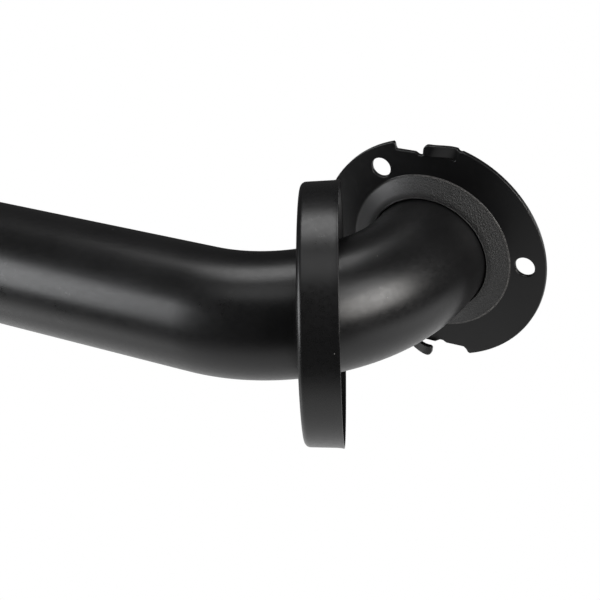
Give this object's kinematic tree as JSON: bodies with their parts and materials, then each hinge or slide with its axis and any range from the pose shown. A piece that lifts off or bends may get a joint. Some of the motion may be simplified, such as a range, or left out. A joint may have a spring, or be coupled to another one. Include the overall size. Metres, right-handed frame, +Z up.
{
  "type": "grab bar",
  "caption": "Wall grab bar: a bent round tube welded to pressed flanges with screw holes, and cup covers that slide along the tube over the flanges.",
  "frame": {"origin": "centre of the left flange's screw circle, on the wall plane", "axes": "+X along the bar from the left flange to the right one, +Y into the wall, +Z up; the room is at -Y"},
  "size_m": [0.4834, 0.0826, 0.0796],
  "materials": {
    "tube_coat": "satin black powder coat",
    "flange_coat": "fine-grained black powder coat",
    "weld_coat": "black powder coat over a weld bead",
    "cover_coat": "satin black powder coat"
  },
  "bodies": {
    "bar": {"grab_tube": "tube_coat", "flange_right": "flange_coat", "flange_left": "flange_coat", "weld_right": "weld_coat", "weld_left": "weld_coat"},
    "cup_right": {"cover_right": "cover_coat"},
    "cup_left": {"cover_left": "cover_coat"}
  },
  "joints": [
    {"name": "cup_right_swing", "type": "hinge", "parent": "bar", "child": "cup_right", "pos_m": [0.3578, -0.00855, 0], "axis": [0, 0, -1], "range_deg": [-16.5, 35]},
    {"name": "cup_left_slide", "type": "slide", "parent": "bar", "child": "cup_left", "axis": [0, -1, 0], "range_m": [0, 0.003]}
  ]
}
